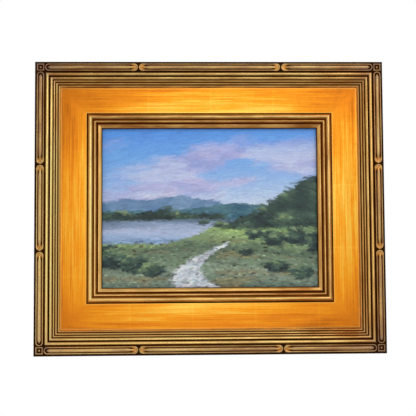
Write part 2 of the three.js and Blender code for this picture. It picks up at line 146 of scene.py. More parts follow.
def smooth(value, low, high):
    """0 below low, 1 above high and an S between them."""
    t = np.clip((value - low) / (high - low), 0, 1)
    return t * t * (3 - 2 * t)


def fade(value, low, high):
    """1 below low, 0 above high and an S between them."""
    return 1 - smooth(value, low, high)


# Moulding section, as (distance from the outer edge, height above the wall)


def swell(start, end, rise, steps):
    """A rounded member from one foot to the other, or a hollow where the rise is negative."""
    angle = np.linspace(0, math.pi, steps + 1)[1:]
    along = (1 - np.cos(angle)) / 2
    at = start[0] + (end[0] - start[0]) * along
    height = start[1] + (end[1] - start[1]) * along + rise * np.sin(angle)
    return list(zip(at.tolist(), height.tolist()))


def edge_points(steps=8):
    angles = [math.pi / 2 * i / steps for i in range(steps + 1)]
    return [
        (EDGE_WIDTH * (1 - math.cos(a)), BAND_HEIGHT - EDGE_ROUNDING * (1 - math.sin(a))) for a in angles
    ]


def band_points(step=0.3):
    count = round(BAND_WIDTH / step)
    return [(EDGE_WIDTH + BAND_WIDTH * i / count, BAND_HEIGHT) for i in range(1, count + 1)]


def reed_points(start):
    points = [start]
    fall = start[1] - PANEL_OUTER_HEIGHT
    for i, width in enumerate(REED_WIDTHS):
        foot = points[-1]
        end = (foot[0] + width, foot[1] - fall * REED_FALLS[i])
        points += swell(foot, end, REED_RISES[i], 14 if i < 2 else 10)
        if i == 0:
            points.append((end[0] + REED_QUIRK_WIDTH, end[1]))
    return points


def sight_points(start):
    bead_start = (start[0] + SIGHT_SIDE_WIDTH, SIGHT_BEAD_FOOT)
    bead_end = (bead_start[0] + SIGHT_BEAD_WIDTH, SIGHT_BEAD_FOOT)
    groove_end = (bead_end[0] + SIGHT_GROOVE_WIDTH, SIGHT_GROOVE_HEIGHT)
    reed_end = (groove_end[0] + SIGHT_REED_WIDTH, SIGHT_GROOVE_HEIGHT)
    cove_end = (reed_end[0] + SIGHT_COVE_WIDTH, LIP_OUTER_HEIGHT)
    lip_end = (cove_end[0] + LIP_WIDTH, LIP_INNER_HEIGHT)
    return (
        [start]
        + [tuple(start[k] + (bead_start[k] - start[k]) * i / 5 for k in (0, 1)) for i in range(1, 6)]
        + swell(bead_start, bead_end, SIGHT_BEAD_RISE, 14)
        + [groove_end]
        + swell(groove_end, reed_end, SIGHT_REED_RISE, 10)
        + swell(reed_end, cove_end, -SIGHT_COVE_DEPTH, 8)
        + swell(cove_end, lip_end, LIP_RISE, 10)
    )


def face_section():
    """The section across the face of a rail, from its outer edge to the sight edge."""
    points = edge_points() + band_points()
    points += reed_points((BAND_END + BAND_GROOVE_WIDTH, BAND_HEIGHT - BAND_GROOVE_DEPTH))
    panel_start = points[-1][0] + PANEL_QUIRK_WIDTH
    points.append((panel_start - PANEL_QUIRK_WIDTH / 2, PANEL_OUTER_HEIGHT - PANEL_QUIRK_DEPTH))
    points += [(panel_start, PANEL_OUTER_HEIGHT), (panel_start + PANEL_BORDER, PANEL_OUTER_HEIGHT)]
    return points + sight_points((panel_start + PANEL_WIDTH, PANEL_INNER_HEIGHT)), panel_start


FACE, PANEL_START = face_section()
PANEL_END = PANEL_START + PANEL_WIDTH
SIDE_TOP = BAND_HEIGHT - EDGE_ROUNDING - 2.0
SECTION = (
    [(0.0, 0.0), (0.0, SIDE_TOP)] + FACE
    + [(RAIL_WIDTH, RABBET_HEIGHT), (RABBET_WALL, RABBET_HEIGHT), (RABBET_WALL, 0.0)]
)

# Carved band, as heights above its floor

RIM_INSETS = (-0.12, 0.0, 0.15, 0.4, 0.65, 0.95, 1.2, 1.5, 1.75, 2.0)
RIM_SHAPE = (0.0, 0.3, 0.62, 0.88, 0.99, 1.0, 0.95, 0.7, 0.4, 0.0)
RIM_START = RIM_INSETS[0]
RIM_CREST = RIM_INSETS[RIM_SHAPE.index(1.0)]
RIB_FULLNESS = 0.3


def rim_profile(inset, height, floor):
    """A rounded rim just inside an outline, then the floor within it."""
    rise = np.interp(inset, RIM_INSETS, RIM_SHAPE) * height
    return np.where(inset > RIM_CREST, np.maximum(rise, floor), rise)


def taper(u, tip, length, direction):
    """The share of a rib's full width near one of its pointed ends."""
    along = np.clip(1 - (tip - u) * direction / length, 0, 1)
    return np.where((tip - u) * direction < 0, 0, 1 - along * along)


def channel_height(u, v, left, right, left_taper, right_taper):
    spine = np.clip(u, left + CHANNEL_HALF_WIDTH, right - CHANNEL_HALF_WIDTH)
    inset = CHANNEL_HALF_WIDTH - np.hypot(u - spine, v)
    height = rim_profile(inset, RIM_HEIGHT, CHANNEL_FLOOR_HEIGHT)
    ribbed = RIM_WIDTH + RIB_EYE
    width = taper(u, right - ribbed, right_taper, 1) * taper(u, left + ribbed, left_taper, -1)
    across = np.abs(v) / np.maximum(RIB_HALF_WIDTH * width, 1e-6)
    rib = RIB_HEIGHT * np.clip(1 - across**2, 0, 1) ** RIB_FULLNESS * np.sqrt(width)
    return np.where(inset > RIM_START, np.maximum(height, rib), 0)


def block_height(u, v, centre):
    square = BLOCK_HALF_WIDTH - np.maximum(np.abs(u - centre), np.abs(v))
    height = rim_profile(square, BLOCK_HEIGHT, BLOCK_SUNK_HEIGHT)
    button = np.hypot(u - centre, v) / BUTTON_RADIUS
    knob = BUTTON_HEIGHT * np.sqrt(np.clip(1 - button**2, 0, 1))
    return np.where(square > RIM_START, np.maximum(height, knob), 0)


def carving_height(u, at, length):
    """The carving's height above the band's floor, at u along a rail and at across it."""
    v = at - BAND_CENTRE
    block_centre = length / 2 - BAND_CENTRE
    first_end = block_centre - BLOCK_HALF_WIDTH - BLOCK_GAP
    tie = length / 2 - TIE_DISTANCE
    side = TIE_WIDTH / 2
    pieces = [
        block_height(u, v, -block_centre),
        block_height(u, v, block_centre),
        channel_height(u, v, -first_end, -tie - side, RIB_BLOCK_TAPER, RIB_TIE_TAPER),
        channel_height(u, v, -tie + side, tie - side, RIB_TIE_TAPER, RIB_TIE_TAPER),
        channel_height(u, v, tie + side, first_end, RIB_TIE_TAPER, RIB_BLOCK_TAPER),
    ]
    return np.maximum.reduce(pieces)


# Rails

STATION_STEP = 0.4
CORNER_REACH = 24.0
TIE_REACH = RIB_TIE_TAPER + 6.0
CUTTER_OVERLAP = 2.0
RAIL_SHARP_ANGLE = 38


def stations(length):
    """Places along a rail: close together at the ties and corners, few between them."""
    tie = length / 2 - TIE_DISTANCE
    corner = length / 2 - CORNER_REACH
    spans = [
        (-length / 2, -corner), (-tie - TIE_REACH, -tie + TIE_REACH),
        (tie - TIE_REACH, tie + TIE_REACH), (corner, length / 2),
    ]
    places = [np.linspace(low, high, round((high - low) / STATION_STEP) + 1) for low, high in spans]
    places += [np.linspace(a[1], b[0], 6)[1:-1] for a, b in zip(spans, spans[1:])]
    return np.unique(np.concatenate(places).round(4))


def rail_arrays(length):
    """Vertices (u, across, height) and faces of one mitred rail, in millimetres."""
    along = stations(length)
    vertices, rows = [], []
    for at, height in SECTION:
        reach = length / 2 - at - MITRE_GAP * math.sqrt(0.5)
        first = int(np.searchsorted(along, -reach, "right"))
        last = int(np.searchsorted(along, reach, "left"))
        u = np.concatenate(([-reach], along[first:last], [reach]))
        heights = np.full(len(u), height)
        if EDGE_WIDTH < at <= BAND_END and height == BAND_HEIGHT:
            heights = height + carving_height(u, at, length)
        start = sum(len(v) for v in vertices)
        rows.append(start + np.clip(np.arange(len(along)), first - 1, last) - (first - 1))
        vertices.append(np.stack([u, np.full(len(u), at), heights], 1))
    faces = []
    for row, following in zip(rows, rows[1:] + rows[:1]):
        quads = np.stack([row[:-1], following[:-1], following[1:], row[1:]], 1)
        for a, b, c, d in quads.tolist():
            corners = tuple(dict.fromkeys((a, b, c, d)))
            if len(corners) > 2:
                faces.append(corners)
    faces.append(tuple(int(row[0]) for row in rows)[::-1])
    faces.append(tuple(int(row[-1]) for row in rows))
    return np.concatenate(vertices), faces


def mesh_from(name, vertices, faces):
    mesh = bpy.data.meshes.new(name)
    mesh.from_pydata(vertices, [], faces)
    mesh.update()
    return mesh


def linked(name, data):
    """A new object with this mesh, light or camera, in the scene."""
    made = bpy.data.objects.new(name, data)
    bpy.context.scene.collection.objects.link(made)
    return made


def prism_mesh(name, outline, low, high):
    count = len(outline)
    vertices = [(x, y, low) for x, y in outline] + [(x, y, high) for x, y in outline]
    faces = [tuple(range(count))[::-1], tuple(range(count, 2 * count))]
    faces += [(i, (i + 1) % count, count + (i + 1) % count, count + i) for i in range(count)]
    return mesh_from(name, vertices, faces)


def arc(x, y, radius, start, end, steps=10):
    angles = np.linspace(math.radians(start), math.radians(end), steps + 1)
    return [(x + radius * math.cos(a), y + radius * math.sin(a)) for a in angles]


def rounded_outline(left, bottom, right, top, corner):
    return (
        arc(right - corner, bottom + corner, corner, -90, 0)
        + arc(right - corner, top - corner, corner, 0, 90)
        + arc(left + corner, top - corner, corner, 90, 180)
        + arc(left + corner, bottom + corner, corner, 180, 270)
    )


def hanger_cutters():
    """The bed, pocket and pilot holes of the hanger, in the top rail's own place."""
    half = HANGER_WIDTH / 2 + TOUCH_GAP
    bed = rounded_outline(
        -half, -HANG_DROP - HANGER_BELOW - TOUCH_GAP, half, -HANG_DROP + HANGER_ABOVE + TOUCH_GAP,
        HANGER_CORNER + TOUCH_GAP,
    )
    radius = HEAD_HOLE_RADIUS + HANGER_POCKET_PLAY
    pocket = arc(0, -HANG_DROP - SLOT_RADIUS, radius, 0, 180)
    pocket += arc(0, -HANG_DROP - HEAD_HOLE_DROP, radius, 180, 360)
    cutters = [(bed, HANGER_THICKNESS + TOUCH_GAP), (pocket, HANGER_POCKET_DEPTH)]
    for y in (HANGER_ABOVE - SCREW_INSET, SCREW_INSET - HANGER_BELOW):
        hole = arc(0, y - HANG_DROP, SCREW_SHANK_RADIUS + TOUCH_GAP, 0, 360, 20)[:-1]
        cutters.append((hole, SCREW_LENGTH + TOUCH_GAP))
    return [prism_mesh("cutter", outline, -CUTTER_OVERLAP, depth) for outline, depth in cutters]


def point_cutter(x):
    """The slot of one framer's point, at x along a rail."""
    half = POINT_WIDTH / 2 + TOUCH_GAP
    mouth = -RABBET_WALL - CUTTER_OVERLAP
    deepest = -(RABBET_WALL - POINT_BITE - TOUCH_GAP)
    outline = [(x - half, mouth), (x + half, mouth), (x + half, deepest), (x - half, deepest)]
    return prism_mesh("cutter", outline, POINT_TOP - POINT_THICKNESS - TOUCH_GAP, POINT_TOP + TOUCH_GAP)


def carved_out(mesh, cutters):
    """The mesh less each of the cutters, which are used up."""
    body = linked("body", mesh)
    tools = [linked("tool", cutter) for cutter in cutters]
    for tool in tools:
        cut = body.modifiers.new("cut", "BOOLEAN")
        cut.operation = "DIFFERENCE"
        cut.solver = "MANIFOLD"
        cut.object = tool
    bpy.context.view_layer.update()
    graph = bpy.context.evaluated_depsgraph_get()
    result = bpy.data.meshes.new_from_object(body.evaluated_get(graph))
    for used in [body] + tools:
        old = used.data
        bpy.data.objects.remove(used)
        bpy.data.meshes.remove(old)
    return result


def read_rows(items, field):
    """A field of three numbers of each vertex or face, as rows."""
    flat = np.empty(len(items) * 3)
    items.foreach_get(field, flat)
    return flat.reshape(-1, 3)


def write_flat(items, field, values):
    items.foreach_set(field, np.ascontiguousarray(values, dtype=np.float32).ravel())


def set_attribute(mesh, name, values):
    """A number or a vector for each vertex."""
    kind, field = ("FLOAT", "value") if values.ndim == 1 else ("FLOAT_VECTOR", "vector")
    write_flat(mesh.attributes.new(name, kind, "POINT").data, field, values)


def set_colour(mesh, name, values):
    rgba = np.concatenate([values, np.ones((len(values), 1))], 1)
    write_flat(mesh.color_attributes.new(name, "FLOAT_COLOR", "POINT").data, "color", rgba)


def give_materials(mesh, materials, which, sharp_angle):
    """A material for each face by its number, and smooth shading between the sharp edges."""
    mesh.materials.clear()
    for material in materials:
        mesh.materials.append(material)
    mesh.polygons.foreach_set("material_index", which.astype(np.int32))
    mesh.polygons.foreach_set("use_smooth", np.ones(len(mesh.polygons), dtype=bool))
    mesh.set_sharp_from_angle(angle=math.radians(sharp_angle))


# Gilding, with painted highlights, sheen and shade, as numbers for each place on a rail

REED_LINE = 0.32
GLAZE_AND_SHADE_FADES = ((0.6, 0.0, 0.42), (0.4, 0.25, 0.85))
CREST_RISE = (0.3, 1.6)
CHANNEL_RUBBED = 0.75
OUTER_SIDE_HOLLOW = 0.42


def glaze_and_shade_lines():
    """Where dark glaze and painted shade lie across a rail, as (place, half width, share of the full
    darkness).
    """
    # The first line, on the rounded outer edge, is painted shadow; the groove lines are glaze and painted
    # shade.
    lines = [(1.3, 1.5, 1.0), (BAND_END + BAND_GROOVE_WIDTH / 2, 0.4, 0.85)]
    at = BAND_END + BAND_GROOVE_WIDTH
    for i, width in enumerate(REED_WIDTHS):
        quirk = REED_QUIRK_WIDTH if i == 0 else 0.0
        share = 1.0 if i < len(REED_WIDTHS) - 1 else 0.1
        lines.append((at + width + quirk / 2, quirk / 2 + REED_LINE, share))
        at += width + quirk
    bead_end = PANEL_END + SIGHT_SIDE_WIDTH + SIGHT_BEAD_WIDTH
    cove_centre = bead_end + SIGHT_GROOVE_WIDTH + SIGHT_REED_WIDTH + SIGHT_COVE_WIDTH / 2
    return np.array(lines + [
        # The lines at the flank's foot and at the sight edge are painted shadow; the groove and cove hold
        # glaze too.
        (PANEL_END + 0.8, 0.8, 0.95), (bead_end + SIGHT_GROOVE_WIDTH / 2, 0.62, 0.95),
        (cove_centre, 0.7, 0.8), (RAIL_WIDTH, 0.3, 0.85),
    ])


GLAZE_AND_SHADE_LINES = glaze_and_shade_lines()


def tie_distance(u, length):
    """How far a place along a rail lies from the nearer tie."""
    return np.abs(np.abs(u) - (length / 2 - TIE_DISTANCE))


def hollow_of(u, at, height, length):
    """0 on crests to 1 in the grooves and the carving's hollows: settled dark glaze with painted shade on
    it.
    """
    away = np.abs(at[:, None] - GLAZE_AND_SHADE_LINES[:, 0]) - GLAZE_AND_SHADE_LINES[:, 1]
    depth = 1 - sum(share * smooth(away, start, end) for share, start, end in GLAZE_AND_SHADE_FADES)
    on_lines = (depth * GLAZE_AND_SHADE_LINES[:, 2]).max(1)
    rise = height - BAND_HEIGHT
    carved = smooth(rise, 0.1, CHANNEL_FLOOR_HEIGHT)
    brightened = fade(tie_distance(u, length), 5.0, 12.0)
    on_carving = fade(rise, *CREST_RISE) * (1 - carved * CHANNEL_RUBBED * brightened)
    band = (at > EDGE_WIDTH - 0.2) & (at < BAND_END + 0.2)
    outer_side = (at < 0.05) & (height < SIDE_TOP + 0.1)
    return np.where(outer_side, OUTER_SIDE_HOLLOW, np.where(band, on_carving, on_lines))


# How bright the crests are across a rail, rubbed gold and painted highlight, as (distance from the outer
# edge, share)
RUB_AND_HIGHLIGHT_ACROSS = (
    (0.0, 0.1), (2.6, 0.2), (4.0, 0.75), (5.6, 0.40), (8.1, 0.55), (10.6, 0.40), (12.2, 0.8),
    (13.2, 0.3), (15.2, 0.85), (17.0, 1.1), (19.4, 0.85), (22.4, 1.0), (26.0, 0.85), (28.9, 0.85),
    (31.6, 1.5), (34.0, 1.0), (68.0, 0.5), (71.0, 0.4), (73.6, 1.05), (76.0, 0.8), (79.6, 0.9),
    (82.0, 0.4), (84.6, 0.65), (86.5, 0.85), (88.9, 0.5),
)


class SideGildingAndLight(NamedTuple):
    """What sets one side's gilding apart from the others', mostly painted light: how each side looks under
    the light.
    """

    rub_and_highlight: float  # gold left on the crests, and their painted highlight
    lean: float  # how far that changes from the rail's middle to its end, a painted light gradient
    copper_and_warm_light: float  # copper colour that shows through, and painted warm light
    painted_sheen: float  # painted sheen on the flat panel
    inward: float  # how much lighter the panel gets towards the painting, as painted sheen


SIDE_GILDING_AND_LIGHT = {
    "top": SideGildingAndLight(rub_and_highlight=0.48, lean=0.03, copper_and_warm_light=0.55, painted_sheen=0.01, inward=0.22),
    "right": SideGildingAndLight(rub_and_highlight=0.86, lean=-0.14, copper_and_warm_light=0.95, painted_sheen=0.05, inward=0.04),
    "bottom": SideGildingAndLight(rub_and_highlight=0.84, lean=0.56, copper_and_warm_light=0.65, painted_sheen=-0.04, inward=0.26),
    "left": SideGildingAndLight(rub_and_highlight=1.20, lean=-0.48, copper_and_warm_light=0.3, painted_sheen=-0.02, inward=0.18),
}
# Painted sheen: the panel's lightening towards the painting at the corners, and its share of each side's
# lean
CORNER_INWARD = 0.15
PANEL_LEAN = 0.2


def mitre_distance(u, at, length):
    """How far a place lies from the nearer mitre of its rail, measured along the rail."""
    return length / 2 - at - np.abs(u)


def rub_and_highlight_of(u, at, length, side_gilding_and_light):
    """The crests' brightness, rubbed gold with painted highlight; the ends of the channels at each tie are
    rubbed through to bright gold.
    """
    places = np.array(RUB_AND_HIGHLIGHT_ACROSS)
    rub_and_highlight = np.interp(at, places[:, 0], places[:, 1]) * side_gilding_and_light.rub_and_highlight + side_gilding_and_light.lean * u / (length / 2)
    on_band = (at > EDGE_WIDTH) & (at < BAND_END)
    rub_and_highlight = np.where(on_band, np.maximum(rub_and_highlight, 1.4 - smooth(tie_distance(u, length), 5.0, 11.0)), rub_and_highlight)
    corner = mitre_distance(u, at, length)
    return rub_and_highlight + 0.2 * fade(corner, 0.0, 2.5) - 0.15 * fade(corner, 10.0, 100.0)


def copper_and_warm_light_of(u, at, length, side_gilding_and_light):
    """How coppery the crests are: most on the carved band, near the corners and at the sight edge, with
    painted warm light by side.
    """
    corner = fade(mitre_distance(u, at, length), 10.0, 100.0)
    on_band = fade(at, BAND_END + 0.2, BAND_END + 1.7)
    bead_start = PANEL_END + SIGHT_SIDE_WIDTH
    bead_end = bead_start + SIGHT_BEAD_WIDTH
    near_sight = 0.15 * smooth(at, bead_start, bead_start + 1.0)
    at_sight = 0.25 * smooth(at, bead_end + 0.6, bead_end + 2.1)
    return side_gilding_and_light.copper_and_warm_light * (1 - 0.5 * on_band) + 0.42 * on_band + near_sight + at_sight + 0.25 * corner


def painted_sheen_of(u, at, length, side_gilding_and_light):
    """Painted sheen on the flat panel: lighter, yellower gold away from the corners and towards the
    painting.
    """
    middle = 1 - np.abs(u) / (length / 2)
    off_mitre = smooth(mitre_distance(u, at, length), 0.0, 60.0)
    lean = PANEL_LEAN * side_gilding_and_light.lean * u / (length / 2)
    share = CORNER_INWARD + (side_gilding_and_light.inward - CORNER_INWARD) * off_mitre
    inward = share * (smooth(at, PANEL_START - 1.7, PANEL_END - 0.2) - 0.5)
    return side_gilding_and_light.painted_sheen * smooth(middle, 0.15, 0.8) + lean * off_mitre + inward


def toned_of(u, at, length):
    """Smoky toning on the carved band, heaviest towards the corners."""
    corner = mitre_distance(u, at, length)
    near = fade(corner, 4.0, 45.0)
    on_band = fade(at, BAND_END + 0.2, BAND_END + 2.7)
    block = fade(corner, 2.0, 12.0) * fade(at, PANEL_START - 3.7, PANEL_START + 2.3)
    return np.clip(0.4 * near * on_band + 0.35 * block + 0.32 * on_band, 0, 1)


def set_gilding_and_light(mesh, side, seed, length):
    """The numbers that the gold leaf and the bare wood take from each place on a rail, painted light and
    shade among them.
    """
    points = read_rows(mesh.vertices, "co")
    u, at, height = points[:, 0], -points[:, 1], points[:, 2]
    side_gilding_and_light = SIDE_GILDING_AND_LIGHT[side]
    attributes = {
        "along_across": np.stack([u, at, height], 1) * MM,
        "side": np.full(len(u), seed),
        "hollow": hollow_of(u, at, height, length),
        "rub_and_highlight": rub_and_highlight_of(u, at, length, side_gilding_and_light),
        "copper_and_warm_light": copper_and_warm_light_of(u, at, length, side_gilding_and_light),
        "toned": toned_of(u, at, length),
        "painted_sheen": painted_sheen_of(u, at, length, side_gilding_and_light),
        "from_mitre": mitre_distance(u, at, length) * MM,
        "from_middle": np.abs(u) / (length / 2),
    }
    for name, values in attributes.items():
        set_attribute(mesh, name, values)


def to_world(points, angle, out):
    """From a rail's own place (u, -across, height) to the standing frame, in metres."""
    x, y, z = points.T
    cos, sin = math.cos(angle), math.sin(angle)
    across_x = x * cos - y * sin - sin * out
    up_y = x * sin + y * cos + cos * out + CENTRE_DROP
    return np.stack([across_x, -z, up_y], 1) * MM


def bare_faces(mesh):
    """Which faces of a rail are bare wood: the back, the rabbet, the cuts and the mitres."""
    normals = read_rows(mesh.polygons, "normal")
    centres = read_rows(mesh.polygons, "center")
    low = centres[:, 2] < RABBET_HEIGHT + 0.01
    inner = (-centres[:, 1] > 0.05) | (normals[:, 2] < -0.5)
    mitre = np.abs(np.abs(normals[:, 0]) - math.sqrt(0.5)) < 1e-3
    return (low & inner) | mitre


def make_rail(side, seed, angle, out, length, point_places, materials):
    """One rail, made lying flat along x and then turned and moved to its side of the frame."""
    name = f"gilt_rail_{side}"
    vertices, faces = rail_arrays(length)
    cutters = [point_cutter(x) for x in point_places]
    if side == "top":
        cutters += hanger_cutters()
    mesh = carved_out(mesh_from(name, vertices * np.array([1, -1, 1]), faces), cutters)
    mesh.name = name
    set_gilding_and_light(mesh, side, seed, length)
    give_materials(mesh, materials, bare_faces(mesh), RAIL_SHARP_ANGLE)
    write_flat(mesh.vertices, "co", to_world(read_rows(mesh.vertices, "co"), angle, out))
    mesh.update()
    rail = linked(name, mesh)
    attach(rail, "root")
    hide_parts(f"frame_rail_{side}")


# Painting, worked out as brush strokes on an even grid

CANVAS_COLUMNS = 361
CANVAS_ROWS = 271
CANVAS_MARGIN = 8.0
PAINT_RELIEF = 0.32
PAINT_GAIN = 1.12
PAINT_EDGE_WIDTH = 1.2
PAINT_EDGE_DROP = 0.6
PAINTING_SHARP_ANGLE = 50
BRISTLES = 9
BOARD_EDGE_COLOUR = (120, 96, 70)


def linear(colour):
    """An 8-bit display colour as linear light."""
    c = np.asarray(colour, float) / 255
    return np.where(c <= 0.04045, c / 12.92, ((c + 0.055) / 1.055) ** 2.4)


def lattice_noise(x, y, seed):
    """Smooth noise from 0 to 1 with one hump to a unit."""
    table = np.random.default_rng(seed).random((64, 64))
    xi, yi = np.floor(x).astype(int), np.floor(y).astype(int)
    fx, fy = x - xi, y - yi
    fx, fy = fx * fx * (3 - 2 * fx), fy * fy * (3 - 2 * fy)
    corner = [[table[(yi + j) % 64, (xi + i) % 64] for i in (0, 1)] for j in (0, 1)]
    upper = corner[0][0] * (1 - fx) + corner[0][1] * fx
    lower = corner[1][0] * (1 - fx) + corner[1][1] * fx
    return upper * (1 - fy) + lower * fy


def cloudy(x, y, seed, octaves=4):
    total, weight = 0, 0
    for i in range(octaves):
        total = total + lattice_noise(x * 2**i, y * 2**i, seed + i) * 0.55**i
        weight += 0.55**i
    return total / weight


def blend(under, over, mask):
    return under + (np.asarray(over) - under) * mask[..., None]


def steps_of(value, stops):
    """Colour at each value, from (value, colour) stops."""
    places = [at for at, _ in stops]
    colours = np.array([linear(colour) for _, colour in stops])
    return np.stack([np.interp(value, places, colours[:, i]) for i in range(3)], -1)


def sky(x, y):
    base = steps_of(y + 0.06 * (x - 0.5), [
        (0.0, (84, 150, 238)), (0.18, (114, 172, 246)), (0.34, (150, 188, 244)),
        (0.46, (188, 208, 240)), (0.55, (212, 224, 240)),
    ])
    drift = cloudy(x * 3.2 + 4, y * 8 + x * 1.2, 11)
    bank = smooth(drift - 0.85 * np.abs(y - 0.32) - 0.10 * np.abs(x - 0.45), 0.34, 0.52)
    body = steps_of(cloudy(x * 7, y * 16, 21), [
        (0.3, (164, 168, 218)), (0.5, (190, 182, 224)), (0.7, (212, 200, 230)),
    ])
    lit = smooth(cloudy(x * 4 + 9, y * 13, 31), 0.50, 0.66)
    body = blend(body, linear((208, 214, 242)), lit * 0.75)
    return blend(base, body, bank * 0.75 * (0.2 + 0.8 * smooth(y, 0.03, 0.2)))


def land_lines(x):
    """Heights of the ridges and shores, as shares of the picture's height from its top."""
    rough = cloudy(x * 9, x * 0 + 2.5, 41)
    fine = cloudy(x * 30, x * 0 + 7.5, 43)
    far = 0.475 - 0.05 * np.exp(-((x - 0.36) / 0.13) ** 2) - 0.03 * np.exp(-((x - 0.12) / 0.1) ** 2)
    far = far + 0.03 * (rough - 0.5)
    near = 0.515 - 0.045 * np.exp(-((x - 0.62) / 0.16) ** 2) + 0.02 * (rough - 0.5)
    hill = 0.60 - 0.27 * smooth(x, 0.52, 1.02) - 0.03 * smooth(x, 0.8, 0.95) + 0.015 * (fine - 0.5)
    trees = 0.525 + 0.07 * (fine - 0.5) + 0.02 * smooth(x, 0.3, 0.6)
    return far, near, hill, trees


def land(x, y, under):
    far, near, hill, trees = land_lines(x)
    texture = cloudy(x * 14, y * 20, 51)
    distant = steps_of(texture, [(0.3, (86, 124, 166)), (0.7, (122, 154, 190))])
    picture = blend(under, distant, smooth(y, far, far + 0.006))
    ridge = steps_of(texture, [(0.3, (48, 92, 116)), (0.7, (80, 122, 134))])
    picture = blend(picture, ridge, smooth(y, near, near + 0.006))
    shore = steps_of(texture, [(0.3, (34, 50, 50)), (0.6, (56, 80, 70)), (0.8, (98, 122, 86))])
    return blend(picture, shore, smooth(y, trees, trees + 0.008) * smooth(0.6 - x, 0, 0.06))


def meadow(x, y, under):
    wave = 0.02 * np.sin(x * 7 + 1.2)
    top = 0.60 + wave * 0.5
    texture = cloudy(x * 8, y * 26, 61)
    ground = steps_of(y - wave + 0.14 * (texture - 0.5), [
        (0.60, (106, 136, 96)), (0.655, (158, 186, 118)), (0.70, (134, 158, 112)), (0.76, (88, 108, 88)),
        (0.83, (114, 134, 108)), (0.90, (132, 150, 130)), (1.0, (98, 116, 102)),
    ])
    patches = smooth(cloudy(x * 6 + 3, y * 24, 71), 0.54, 0.64) * smooth(y, 0.70, 0.78)
    ground = blend(ground, linear((80, 96, 78)), patches * 0.7)
    dry = smooth(cloudy(x * 5 + 8, y * 30, 73), 0.55, 0.66) * smooth(y, 0.66, 0.74)
    ground = blend(ground, linear((136, 124, 84)), dry * 0.6)
    return blend(under, ground, smooth(y, top, top + 0.01))


def track(x, y, under):
    """A pale track that winds down the meadow to the lower edge."""
    top = 0.70
    down = np.clip((y - top) / (1 - top), 0, 1)
    middle = 0.60 - 0.20 * np.sin(down * 2.3) + 0.015 * (cloudy(x * 0, y * 40, 87) - 0.5)
    half = 0.010 + 0.105 * down**1.5
    away = np.abs(x - middle) / half + 0.25 * (cloudy(x * 22, y * 44, 89) - 0.5)
    pale = steps_of(cloudy(x * 18, y * 60, 85), [
        (0.3, (170, 180, 188)), (0.6, (208, 216, 226)), (0.8, (230, 234, 242)),
    ])
    return blend(under, pale, fade(away, 0.75, 1.05) * smooth(y, top, top + 0.02))


def water(x, y, under):
    """The lake at the left, between the far shore and the meadow."""
    upper = 0.572 + 0.006 * np.sin(x * 11)
    lower = 0.715 - 0.125 * smooth(x, 0.26, 0.62) + 0.012 * (cloudy(x * 16, x * 0 + 5, 81) - 0.5)
    shade = steps_of((y - 0.572) / 0.14 + 0.5 * (cloudy(x * 3, y * 50, 83) - 0.5), [
        (0.0, (66, 92, 104)), (0.22, (132, 152, 182)), (0.5, (178, 190, 220)), (0.8, (160, 186, 222)),
        (1.0, (124, 152, 190)),
    ])
    within = smooth(y, upper, upper + 0.006) * fade(y, lower, lower + 0.008)
    return blend(under, shade, within * smooth(0.66 - x, 0, 0.05))


def hillside(x, y, under):
    """The wooded hill at the right, down to the meadow."""
    hill = land_lines(x)[2]
    foot = 0.635 - 0.02 * x
    slope = steps_of(cloudy(x * 12, y * 18, 57) + 0.55 * (y - hill - 0.12), [
        (0.2, (32, 50, 50)), (0.42, (48, 70, 64)), (0.6, (72, 98, 82)), (0.85, (122, 146, 104)),
    ])
    within = smooth(y, hill, hill + 0.006) * fade(y, foot, foot + 0.02)
    return blend(under, slope, within * smooth(x, 0.5, 0.62))


# Clumps of bushes as (x, y, half width, half height), in shares of the picture
BUSHES = (
    (0.055, 0.80, 0.085, 0.085), (0.15, 0.845, 0.075, 0.06), (0.235, 0.88, 0.06, 0.045),
    (0.70, 0.665, 0.05, 0.035), (0.79, 0.69, 0.065, 0.05), (0.90, 0.675, 0.07, 0.06),
    (0.985, 0.71, 0.05, 0.075), (0.47, 0.595, 0.035, 0.02), (0.545, 0.60, 0.03, 0.022),
    (0.66, 0.77, 0.04, 0.024), (0.80, 0.86, 0.07, 0.04), (0.92, 0.90, 0.06, 0.045),
    (0.30, 0.535, 0.028, 0.045), (0.345, 0.545, 0.02, 0.032), (0.10, 0.545, 0.05, 0.03),
)


def growth(x, y, under):
    """The bushes, each with a ragged outline, pale on top and dark below."""
    picture = under
    fringe = 0.5 * (cloudy(x * 40, y * 34, 91) - 0.5)
    for bx, by, wide, high in BUSHES:
        away = np.hypot((x - bx) / wide, (y - by) / high) + fringe
        leafy = steps_of(cloudy(x * 34, y * 34, 93) - (y - by) / high * 0.26, [
            (0.15, (26, 42, 44)), (0.45, (42, 64, 62)), (0.62, (76, 102, 84)), (0.82, (128, 150, 108)),
        ])
        picture = blend(picture, leafy, fade(away, 0.85, 1.0))
    return picture


def composition(x, y):
    """The picture's broad areas, at shares of its width and height from the top left."""
    picture = sky(x, y)
    for layer in (land, meadow, water, track, hillside, growth):
        picture = layer(x, y, picture)
    return np.clip(picture * PAINT_GAIN, 0, 1)


def on_water(x, y):
    return (y > 0.57) & (y < 0.70) & (x < 0.5)


def on_hillside(x, y):
    return (y > 0.36) & (y < 0.64) & (x > 0.6)


def flow(x, y):
    """The lie of the brush at a place, in radians."""
    wander = cloudy(x * 5, y * 5, 97) - 0.5
    in_sky = 0.10 + 0.5 * wander
    on_hill = -0.42 * smooth(x, 0.5, 0.75) + 1.2 * wander
    on_ground = 0.08 * np.sin(x * 6) + 0.7 * wander
    angle = np.where(y < 0.5, in_sky, on_ground)
    angle = np.where(on_water(x, y), 0.0, angle)
    return np.where(on_hillside(x, y), on_hill, angle)


